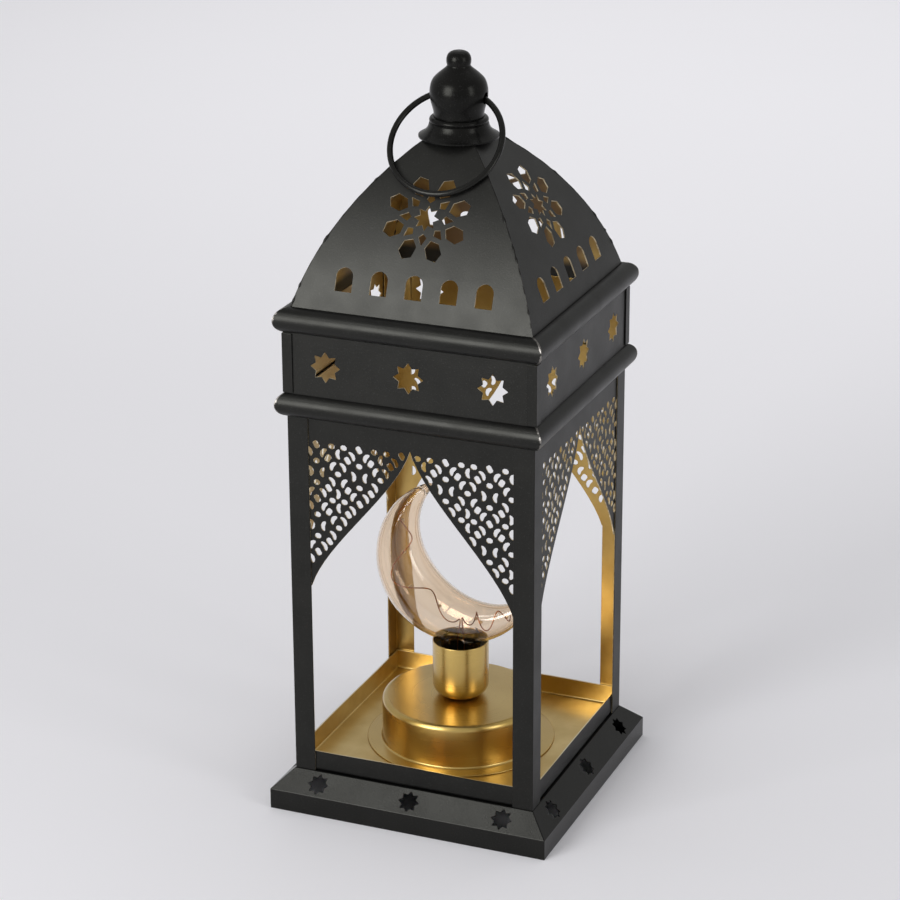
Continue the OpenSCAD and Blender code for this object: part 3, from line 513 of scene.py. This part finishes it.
# a folded pan: floor, turned-up sides with a bend, a slightly wavy top edge
def trayPan(t):
    bm = bmesh.new()
    middle = t["half"] - t["sheet"] / 2
    low = t["low"] + t["sheet"] / 2
    bmesh.ops.create_grid(bm, x_segments=t["cells"], y_segments=t["cells"], size=middle * mm)
    bmesh.ops.translate(bm, verts=bm.verts, vec=(0, 0, low * mm))
    border = [e for e in bm.edges if e.is_boundary]
    raised = bmesh.ops.extrude_edge_only(bm, edges=border)["geom"]
    rim = [v for v in raised if isinstance(v, bmesh.types.BMVert)]
    bmesh.ops.translate(bm, verts=rim, vec=(0, 0, (t["top"] - low) * mm))
    for v in rim:
        along = (v.co.x - v.co.y) / mm
        v.co.z -= t["wave"] * mm * (1 + math.sin(along * t["wavePitch"] + t["waveStart"]))
        pull = 1 - t["lean"] * (1 + math.sin(along * t["leanPitch"] + t["leanStart"]))
        v.co.x *= pull
        v.co.y *= pull
    level = [e for e in bm.edges if all(abs(v.co.z - low * mm) < tiny for v in e.verts)]
    fold = [e for e in level if sum(abs(f.normal.z) < 0.5 for f in e.link_faces) == 1]  # one upright face
    bmesh.ops.bevel(bm, geom=fold, offset=t["bend"] * mm, segments=t["bendSteps"], profile=0.5,
                    affect="EDGES", material=-1)
    bmesh.ops.recalc_face_normals(bm, faces=bm.faces)
    piece = addObject("trayPan", meshFrom(bm, "trayPan"), "traySheet")
    wall = piece.modifiers.new("wall", "SOLIDIFY")
    wall.thickness = t["sheet"] * mm
    wall.offset = 0
    bake(piece)
    bm = rod(t["hole"], t["holeDepth"], t["holeSteps"])
    bmesh.ops.translate(bm, verts=bm.verts, vec=(0, 0, low * mm))
    combine(piece, addObject("trayCutter", meshFrom(bm, "trayCutter"), "traySheet"), "DIFFERENCE")
    settle(piece, "lantern", ["tray"], t["sharp"])


trayPan(tray)
print("tray made")

hip = {
    "from": 246.0, "to": 320.0, "count": 180, "sunk": 0.38, "thin": 0.36, "ripple": 0.15, "ripplePitch": 0.37,
    "seed": 11, "lumps": 6, "lump": 0.45, "lumpWide": (0.5, 1.6), "lumpSize": (0.5, 1), "sharp": 60,
}


# solder along the four corners of the dome, with a few lumps
def hipSeams(h):
    chance = random.Random(h["seed"])
    for name, (sx, sy) in corners.items():
        lumps = [(chance.uniform(h["from"], h["to"]), chance.uniform(*h["lumpWide"]),
                  chance.uniform(*h["lumpSize"])) for _ in range(h["lumps"])]
        points, radii = [], []
        for i in range(h["count"] + 1):
            z = h["from"] + (h["to"] - h["from"]) * i / h["count"]
            reach = math.sqrt(domeArc["radius"] ** 2 - (z - domeArc["height"]) ** 2)
            far = domeArc["middle"] + reach - h["sunk"]
            bulge = sum(size * math.exp(-((z - at) / wide) ** 2) for at, wide, size in lumps)
            points.append((sx * far, sy * far, z))
            thin = h["thin"] * (1 + h["ripple"] * math.sin(i * h["ripplePitch"]))
            radii.append(thin + h["lump"] * min(bulge, 1.0))
        seam = swept("hipSeam_" + name, points, radii, "blackSheet")
        settle(seam, "lantern", [], h["sharp"])


hipSeams(hip)
print("dome seams made")

# outlines: bell as shares of the flare, belly as insets from the ball, top as extras to the knob
finial = {
    "z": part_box("finial_bell")[0].z / mm, "height": 39.3, "neck": 11.5, "flare": 18.5, "ball": 13.3,
    "knob": 5.65, "wall": 0.9, "neckGap": 0.05, "roof": 29.2, "thickFrom": 23, "thick": 0.7,
    "around": 128, "bellFine": 5, "ballFine": 4,
    "bell": [(1, 0), (1, 0.7), (0.8, 1.5), (0.58, 2.6), (0.43, 3.8), (0.34, 5.2), (0.29, 6.4),
             (0.22, 6.9), (0.28, 7.4), (0.28, 8.2), (0.2, 9), (0.1, 9.3)],
    "belly": [(1.8, 4.6), (1.8, 10.9), (1.5, 12.5), (1, 14.3), (0.5, 16.2), (0.12, 18.4), (0, 20.7),
              (0.2, 22.6), (0.65, 24.5), (1.55, 26.4), (3.2, 28.2), (5.3, 30)],
    "top": [(1.1, 31), (0.1, 31.9), (-0.3, 32.7), (-0.1, 33.7), (0, 34.8), (-0.1, 36), (-0.6, 37.4),
            (-1.6, 38.5), (-3.4, 39.2)],
    "pivot": 18.0, "pivotIn": 0.15, "hole": 2.8, "holeUp": 0.5, "holeLength": 60, "holeSteps": 48,
}


# a thin bell that flares at its foot
def finialBell(f):
    outer = [(f["neck"] + share * (f["flare"] - f["neck"]), f["z"] + z) for share, z in f["bell"]]
    outer = [outer[0]] + smoothLine(outer[1:], f["bellFine"])
    inner = [(max(r - f["wall"], f["neck"] + f["neckGap"]), z) for r, z in reversed(outer)]
    piece = addObject("finialBell", turned("finialBell", outer + inner, f["around"]), "glossBlack")
    settle(piece, "lantern", ["finial_bell"])


# the ball with its knob, hollow below, with a cross hole for the ring
def finialBall(f):
    belly = [(f["ball"] - inset, z) for inset, z in f["belly"]]
    top = [(f["knob"] + extra, z) for extra, z in f["top"]]
    outer = [belly[0]] + smoothLine(belly[1:] + top + [(0.0, f["height"])], f["ballFine"])
    inner = [(0.0, f["roof"])]
    inner += [(r - f["wall"], z - (f["thick"] if z > f["thickFrom"] else 0)) for r, z in reversed(belly)]
    outline = [(max(r, 0.0), f["z"] + z) for r, z in outer + inner]
    piece = addObject("finialBall", turned("finialBall", outline, f["around"]), "glossBlack")
    bm = rod(f["hole"], f["holeLength"], f["holeSteps"])
    bmesh.ops.rotate(bm, verts=bm.verts, matrix=Matrix.Rotation(math.pi / 2, 3, "Y"))
    bmesh.ops.translate(bm, verts=bm.verts, vec=(0, 0, (f["z"] + f["pivot"] + f["holeUp"]) * mm))
    combine(piece, addObject("holeCutter", meshFrom(bm, "holeCutter"), "glossBlack"), "DIFFERENCE")
    settle(piece, "lantern", ["finial_ball"])


finialBell(finial)
finialBall(finial)

ring = {"radius": 26.3, "wire": 1.4, "gap": 0.3, "around": 160, "across": 24}


# a closed ring that hangs from the ball's hole and lies just off the front of the dome
def ringHandle(r):
    apart = finial["ball"] - finial["pivotIn"] - finial["wall"] / 2
    hang = math.sqrt(r["radius"] ** 2 - apart ** 2)
    over = finial["z"] + finial["pivot"] - domeArc["height"]
    lie = domeArc["radius"] + r["wire"] + r["gap"]
    rest = math.asin(lie / math.hypot(domeArc["middle"], over)) - math.atan2(-domeArc["middle"], over)
    bm = bmesh.new()
    bmesh.ops.create_circle(bm, segments=r["across"], radius=r["wire"] * mm)
    bmesh.ops.rotate(bm, verts=bm.verts, matrix=Matrix.Rotation(math.pi / 2, 3, "X"))
    bmesh.ops.translate(bm, verts=bm.verts, vec=(r["radius"] * mm, 0, 0))
    bmesh.ops.spin(bm, geom=bm.verts[:] + bm.edges[:], cent=(0, 0, 0), axis=(0, 0, 1), angle=math.tau,
                   steps=r["around"], use_merge=True)
    bmesh.ops.recalc_face_normals(bm, faces=bm.faces)
    place = (Matrix.Translation((0, 0, (finial["z"] + finial["pivot"]) * mm))
             @ Matrix.Rotation(math.pi / 2 - rest, 4, "X")
             @ Matrix.Translation((0, -hang * mm, 0)))
    bmesh.ops.transform(bm, verts=bm.verts, matrix=place)
    piece = addObject("ringWire", meshFrom(bm, "ringWire"), "smoothSheet")
    settle(piece, "ring", ["ring_handle"])


ringHandle(ring)
print("finial and ring made")

lamp = {
    "sheet": 0.6, "drumZ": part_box("lamp_drum")[0].z / mm, "drumTop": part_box("lamp_drum")[1].z / mm,
    "drum": 38.2, "brim": 45.6, "shoulder": 2.6, "root": 1.2, "bore": 4.15, "drumAround": 160,
    "cupZ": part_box("lamp_cup")[0].z / mm, "cupTop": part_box("lamp_cup")[1].z / mm,
    "cup": 13.6, "cupRound": 7.0, "cupAround": 128,
    "edgeSteps": 8, "rootSteps": 10, "shoulderSteps": 14, "roundSteps": 16,
}


# a spun drum with a brim at its foot and a hole in its top
def lampDrum(d):
    t, z, top = d["sheet"], d["drumZ"], d["drumTop"]
    bend, crown = d["drum"] + d["root"], (d["drum"] - d["shoulder"], top - d["shoulder"])
    outline = [(d["drum"] - t, z)]
    outline += arc((d["brim"] - t / 2, z + t / 2), t / 2, -90, 90, d["edgeSteps"])
    outline += arc((bend, z + t + d["root"]), d["root"], 270, 180, d["rootSteps"])
    outline += arc(crown, d["shoulder"], 0, 90, d["shoulderSteps"])
    outline += [(d["bore"], top), (d["bore"], top - t)]
    outline += arc(crown, d["shoulder"] - t, 90, 0, d["shoulderSteps"])
    piece = addObject("lampDrum", turned("lampDrum", outline, d["drumAround"]), "spunGold")
    settle(piece, "lantern", ["lamp_drum"])


# a spun cup with a round bottom and a rounded rim
def lampCup(c):
    t, z, top, soft = c["sheet"], c["cupZ"], c["cupTop"], c["cupRound"]
    middle = (c["cup"] - soft, z + soft)
    outline = [(c["bore"], z + t), (c["bore"], z)] + arc(middle, soft, 270, 360, c["roundSteps"])
    outline += arc((c["cup"] - t / 2, top - t / 2), t / 2, 0, 180, c["edgeSteps"])
    outline += arc(middle, soft - t, 360, 270, c["roundSteps"])
    piece = addObject("lampCup", turned("lampCup", outline, c["cupAround"]), "spunGold")
    settle(piece, "lantern", ["lamp_cup"])


lampDrum(lamp)
lampCup(lamp)
print("drum and cup made")

# the crescent lies between two circles whose middles are an offset apart; angles in degrees
moon = {
    "outer": 41.2, "inner": 34.6, "offset": 20.9, "turn": 45.6, "shift": -1.6, "sink": 1.2, "wall": 0.9,
    "tip": 6, "blunt": 0.004, "solidTip": 9, "rings": 96, "roundness": 10, "sharp": 40,
    "foot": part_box("moon_glass")[0].z / mm, "neck": 9.5, "neckUp": 8, "neckCut": 1, "neckSteps": 64,
}
moonTurn = math.radians(moon["turn"])
moonZ = lamp["cupTop"] - moon["sink"] + moon["outer"]
moonHeart = (moon["shift"] + math.cos(moonTurn) * moon["offset"] / 2,
             moonZ + math.sin(moonTurn) * moon["offset"] / 2)


# far and near side of the crescent along a ray from its middle
def moonReach(b):
    along, across = moon["offset"] / 2 * math.cos(b), moon["offset"] / 2 * math.sin(b)
    far = along + math.sqrt(moon["outer"] ** 2 - across ** 2)
    return far, -along + math.sqrt(moon["inner"] ** 2 - across ** 2)


def moonPoint(b, out, depth):
    far, near = moonReach(b)
    way = moonTurn + math.pi + b
    reach = (far + near) / 2 + out
    return (moonHeart[0] + reach * math.cos(way), depth, moonHeart[1] + reach * math.sin(way))


def moonThick(b):
    far, near = moonReach(b)
    return (far - near) / 2


# the angle at which the two circles meet, less the rounded tip
def moonEnd():
    k = (moon["outer"] ** 2 - moon["inner"] ** 2) / (2 * moon["offset"])
    meet = math.atan2(math.sqrt(moon["outer"] ** 2 - (moon["offset"] / 2 + k) ** 2), k)
    return math.radians(180 - moon["tip"]) - meet


def crescent(name, wall, end):
    cap, count = math.radians(moon["tip"]), moon["rings"]
    angles = [-end * math.cos(math.pi * i / count) for i in range(count + 1)]
    radii = []
    for b in angles:
        over = (abs(b) - end + cap) / cap
        taper = 1 if over < 0 else math.sqrt(max(moon["blunt"], 1 - over * over))
        radii.append((moonThick(b) - wall) * taper)
    return swept(name, [moonPoint(b, 0, 0) for b in angles], radii, "lustreGlass", moon["roundness"])


def neckTube(name, radius, low, high):
    bm = rod(radius, high - low, moon["neckSteps"])
    bmesh.ops.translate(bm, verts=bm.verts, vec=(0, 0, (low + high) / 2 * mm))
    return addObject(name, meshFrom(bm, name), "lustreGlass")


# a hollow crescent on an open neck
def moonGlass(m):
    end, top = moonEnd(), lamp["cupTop"] + m["neckUp"]
    piece = crescent("moonGlass", 0, end)
    combine(piece, neckTube("neckOuter", m["neck"], m["foot"], top), "UNION")
    hollow = crescent("moonHollow", m["wall"], end - math.radians(m["solidTip"]))
    combine(hollow, neckTube("neckInner", m["neck"] - m["wall"], m["foot"] - m["neckCut"], top), "UNION")
    combine(piece, hollow, "DIFFERENCE")
    settle(piece, "lantern", ["moon_glass"], m["sharp"])


moonGlass(moon)
print("crescent made")

# neck and mouth: shares of the lead's place in x and y, and a height over the foot or the cup's top
lightLine = {
    "wire": 0.6, "wireFine": 4, "lead": 1.6, "neck": [(1, 0, 2), (1, 0, 6), (0.9, 0.3, 12)],
    "mouth": (0.6, 0.6, 2), "entry": 9, "short": 24,
    "steps": 28, "fill": 0.5, "swing": 900, "sway": 620, "stray": 0.7,
    "drop": 0.95, "dropGap": 0.1, "dropsAt": (9, 15, 21, 27), "dropSteps": 24, "dropFine": 3, "dropSharp": 80,
    "dropShape": [(0, -1), (0.45, -0.9), (0.8, -0.6), (1, 0), (0.8, 0.55), (0.42, 0.85), (0, 1)],
}


# one run of the string: up the neck from a lead and then winding through a horn
def lightRun(x, to, s):
    foot, top = moon["foot"], lamp["cupTop"]
    points = [(x * shareX, x * shareY, foot + up) for shareX, shareY, up in s["neck"]]
    points.append((x * s["mouth"][0], x * s["mouth"][1], top + s["mouth"][2]))
    start = math.atan2(top + s["entry"] - moonHeart[1], -moonHeart[0]) + math.pi - moonTurn
    for i in range(s["steps"] + 1):
        w = i / s["steps"]
        b = start + (to - start) * w
        room = s["fill"] * (moonThick(b) - moon["wall"] - s["wire"])
        out = room * math.sin(math.radians(s["swing"]) * w)
        depth = room * math.sin(math.radians(s["sway"]) * w) + x * s["stray"] * (1 - w)
        points.append(moonPoint(b, out, depth))
    return points


def lightString(s):
    reach = moonEnd() - math.radians(s["short"])
    runs = [lightRun(-s["lead"], -reach, s), lightRun(s["lead"], reach, s)]
    for i, run in enumerate(runs):
        line = smoothLine(run, s["wireFine"])
        wire = swept("lightWire" + str(i + 1), line, [s["wire"] / 2] * len(line), "copperWire")
        settle(wire, "lantern", ["light_wire"] if i == 0 else [])
    outline = smoothLine([(share * s["drop"], up * s["drop"]) for share, up in s["dropShape"]], s["dropFine"])
    first = (0, s["dropsAt"][0])
    for i, run in enumerate(runs):
        for k in s["dropsAt"]:
            spot = Vector(run[k]) + Vector((0, s["drop"] + s["wire"] / 2 + s["dropGap"], 0))
            mesh = turned("drop", outline, s["dropSteps"])
            drop = addObject("lightDrop" + str(i + 1) + str(k), mesh, "clearResin")
            drop.data.transform(Matrix.Translation(spot * mm))
            stoodFor = ["light_drops"] if (i, k) == first else []
            settle(drop, "lantern", stoodFor, s["dropSharp"])


lightString(lightLine)
print("light string made")

spring = {"radius": 3.0, "wire": 0.35, "turns": 4, "length": 6.05, "rows": 11.0, "steps": 96}


# three coils, the middle one at the other end of its cell
def cellSprings(s):
    low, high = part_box("cell_springs")
    middleZ = (low.z + high.z) / 2 / mm
    start = low.x / mm + s["wire"]
    for row in (-1, 0, 1):
        flip = -1 if row == 0 else 1
        points = []
        for i in range(s["steps"] + 1):
            a = math.tau * s["turns"] * i / s["steps"]
            points.append((flip * (start + s["length"] * i / s["steps"]),
                           row * s["rows"] + flip * s["radius"] * math.cos(a),
                           middleZ + s["radius"] * math.sin(a)))
        coil = swept("cellSpring" + str(row + 2), points, [s["wire"]] * len(points), "bareSteel")
        settle(coil, "lantern", ["cell_springs"] if row == -1 else [])


cellSprings(spring)
print("springs made")

studio = {
    "half": 6, "drop": 0.00003, "cloudNoise": (3, 2), "rough": 0.9, "sky": (1, 1, 1, 1), "daylight": 0.50,
    "pale": (0.915, 0.907, 0.945, 1), "light": (0.93, 0.922, 0.96, 1),
}
floorPaint, tree, shader, coords = startMaterial("studioFloor")
floorCloud = noise(tree, coords["Object"], *studio["cloudNoise"])
setInputs(tree, shader, {
    "Base Color": mixColour(tree, floorCloud, studio["pale"], studio["light"]), "Roughness": studio["rough"]})
bm = bmesh.new()
bmesh.ops.create_grid(bm, x_segments=1, y_segments=1, size=studio["half"])
floor = bpy.data.objects.new("studioFloor", meshFrom(bm, "studioFloor"))
floor.location = (0, 0, -studio["drop"])
scene.collection.objects.link(floor)
floor.data.materials.append(floorPaint)

world = bpy.data.worlds.new("studio")
scene.world = world
world.use_nodes = True
tree = world.node_tree
setInputs(tree, tree.nodes["Background"], {"Color": studio["sky"], "Strength": studio["daylight"]})

lamps = {
    "leftSoftbox": {
        "at": (-0.56, -1.37, 0.64), "to": (0, 0, 0.25), "size": (0.8, 0.85), "power": 6.1, "spread": 110},
    "rightSoftbox": {
        "at": (1.45, -0.46, 0.65), "to": (0, 0, 0.2), "size": (0.4, 0.9), "power": 3.6, "spread": 180},
    "lowSoftbox": {
        "at": (-0.2425, -0.356, 0.592), "to": (-0.2425, -0.356, 0), "size": (0.34, 0.12), "power": 0.40,
        "spread": 130, "spares": floor},
    "backSoftbox": {
        "at": (-0.4, 1.5, 1.5), "to": (-0.4, 1.5, 0), "size": (2.0, 2.0), "power": 4.4, "spread": 80},
}
for name, facts in lamps.items():
    light = bpy.data.lights.new(name, "AREA")
    light.shape = "RECTANGLE"
    light.size, light.size_y = facts["size"]
    light.energy = facts["power"]
    light.spread = math.radians(facts["spread"])
    holder = bpy.data.objects.new(name, light)
    holder.location = facts["at"]
    aim = Vector(facts["to"]) - Vector(facts["at"])
    holder.rotation_euler = aim.to_track_quat("-Z", "Y").to_euler()
    scene.collection.objects.link(holder)
    if "spares" in facts:  # lights everything but this
        spared = bpy.data.collections.new(name + "Spares")
        spared.objects.link(facts["spares"])
        spared.collection_objects[0].light_linking.link_state = "EXCLUDE"
        holder.light_linking.receiver_collection = spared

view = {
    "at": (0.49616, -1.21152, 0.67128), "right": (0.92464, 0.38081, -0.00433),
    "up": (-0.13282, 0.33311, 0.93349), "back": (0.35692, -0.86257, 0.35858),
    "lens": 119.21, "sensor": 36.0, "nearest": 0.01,
}
camera = bpy.data.cameras.new("camera")
camera.lens = view["lens"]
camera.sensor_width = view["sensor"]
camera.clip_start = view["nearest"]
eye = bpy.data.objects.new("camera", camera)
turn = Matrix((view["right"], view["up"], view["back"])).transposed().to_4x4()
eye.matrix_world = Matrix.Translation(view["at"]) @ turn
scene.collection.objects.link(eye)
scene.camera = eye
scene.view_settings.view_transform = "Standard"
print("stage, lamps and camera set")
